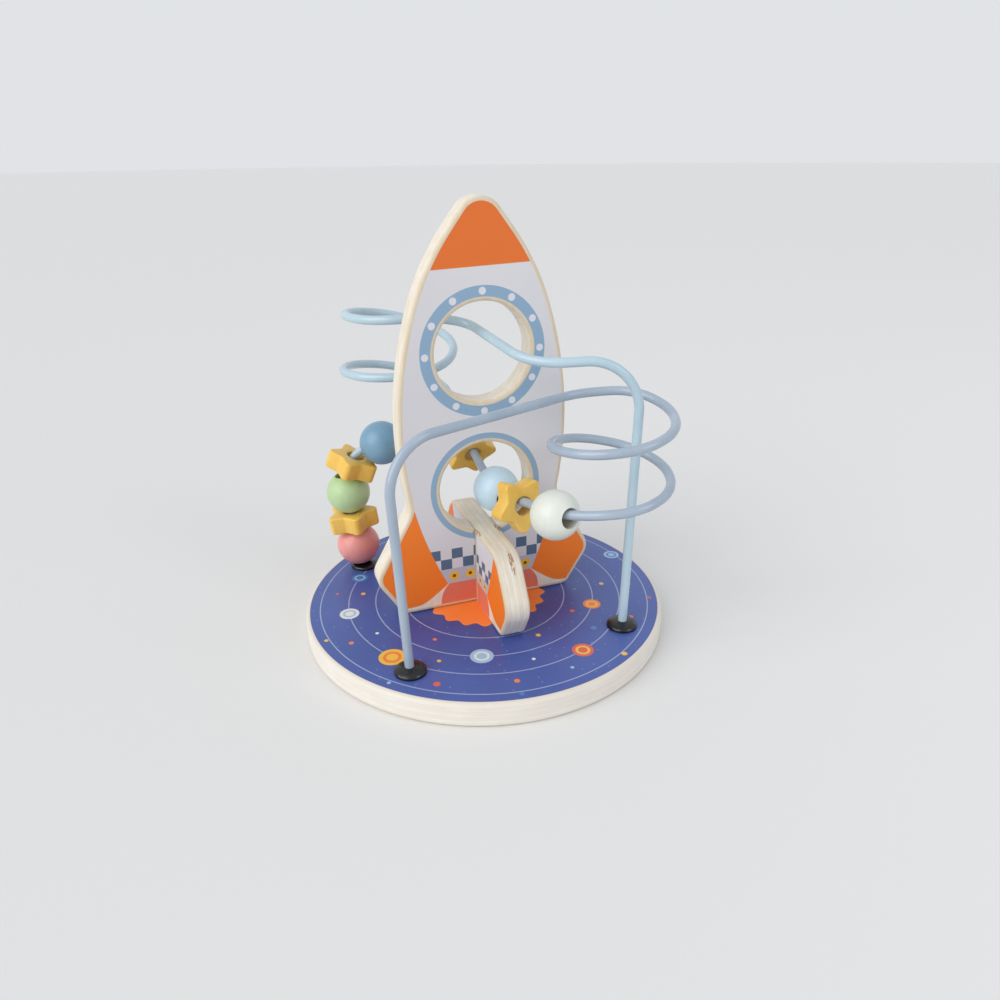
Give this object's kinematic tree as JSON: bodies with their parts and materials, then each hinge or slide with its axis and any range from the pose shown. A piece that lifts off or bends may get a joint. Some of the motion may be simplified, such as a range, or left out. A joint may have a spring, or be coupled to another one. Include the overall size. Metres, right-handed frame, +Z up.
{
  "type": "bead maze",
  "caption": "Wooden bead maze: round base, rocket-shaped board crossed by a fin board, and coiled wires through its portholes with sliding balls and stars.",
  "frame": {"origin": "centre of the base's underside", "axes": "+Z up, -Y towards the viewer's side of the rocket board, +X to the right along that board"},
  "size_m": [0.18, 0.18, 0.2045],
  "materials": {
    "base_board": "satin print on wood",
    "rocket_board": "satin print on plywood",
    "fin_board": "satin print on plywood",
    "screws": "plain",
    "upper_wire": "gloss",
    "lower_wire": "gloss",
    "caps": "gloss",
    "pink_paint": "satin paint",
    "green_paint": "satin paint",
    "blue_paint": "satin paint",
    "cream_paint": "satin paint",
    "pale_blue_paint": "satin paint",
    "yellow_paint": "satin paint"
  },
  "bodies": {
    "maze": {"base_disc": "base_board", "rocket_plate": "rocket_board", "fin_plate": "fin_board", "plate_screws": "screws", "upper_wire": "upper_wire", "lower_wire": "lower_wire", "cap_front_left": "caps", "cap_front_right": "caps", "cap_rear_left": "caps", "cap_rear_right": "caps"},
    "pink_bead": {"pink_ball": "pink_paint"},
    "low_star_bead": {"pile_star_low": "yellow_paint"},
    "green_bead": {"green_ball": "green_paint"},
    "high_star_bead": {"pile_star_high": "yellow_paint"},
    "blue_bead": {"blue_ball": "blue_paint"},
    "cream_bead": {"cream_ball": "cream_paint"},
    "front_star_bead": {"front_star": "yellow_paint"},
    "pale_blue_bead": {"pale_blue_ball": "pale_blue_paint"},
    "rear_star_bead": {"rear_star": "yellow_paint"}
  },
  "joints": [
    {"name": "pink_lift", "type": "slide", "parent": "maze", "child": "pink_bead", "axis": [-0.1065, 0.0142, 0.9942], "range_m": [0, 0.006]},
    {"name": "low_star_lift", "type": "slide", "parent": "maze", "child": "low_star_bead", "axis": [-0.1065, 0.0142, 0.9942], "range_m": [0, 0.006]},
    {"name": "green_swing", "type": "hinge", "parent": "maze", "child": "green_bead", "pos_m": [-0.03701, 0.04606, 0.06177], "axis": [0.3053, 0.9521, 0.0191], "range_deg": [0, 16.51]},
    {"name": "high_star_swing", "type": "hinge", "parent": "maze", "child": "high_star_bead", "pos_m": [-0.03701, 0.04606, 0.06177], "axis": [0.3053, 0.9521, 0.0191], "range_deg": [0, 16.51]},
    {"name": "blue_slide", "type": "slide", "parent": "maze", "child": "blue_bead", "axis": [0.859, -0.284, 0.426], "range_m": [0, 0.0069]},
    {"name": "cream_swing", "type": "hinge", "parent": "maze", "child": "cream_bead", "pos_m": [0.04686, -0.04102, 0.07668], "axis": [-0.0427, 0.182, 0.9824], "range_deg": [0, 28]},
    {"name": "front_star_slide", "type": "slide", "parent": "maze", "child": "front_star_bead", "axis": [-0.1567, 0.9699, -0.1865], "range_m": [-0.01, 0.001]},
    {"name": "pale_blue_swing", "type": "hinge", "parent": "maze", "child": "pale_blue_bead", "pos_m": [0.01754, -0.00308, 0.12862], "axis": [0.9803, 0.1297, -0.149], "range_deg": [-6, 6]},
    {"name": "rear_star_slide", "type": "slide", "parent": "maze", "child": "rear_star_bead", "axis": [-0.0646, 0.9233, 0.3786], "range_m": [-0.006, 0.001]}
  ],
  "couplings": [
    {"joint": "low_star_lift", "follows": "pink_lift", "ratio": 1},
    {"joint": "green_swing", "follows": "pink_lift", "rad_per_m": 47.727},
    {"joint": "high_star_swing", "follows": "pink_lift", "rad_per_m": 47.727},
    {"joint": "blue_slide", "follows": "pink_lift", "ratio": 1.15}
  ]
}
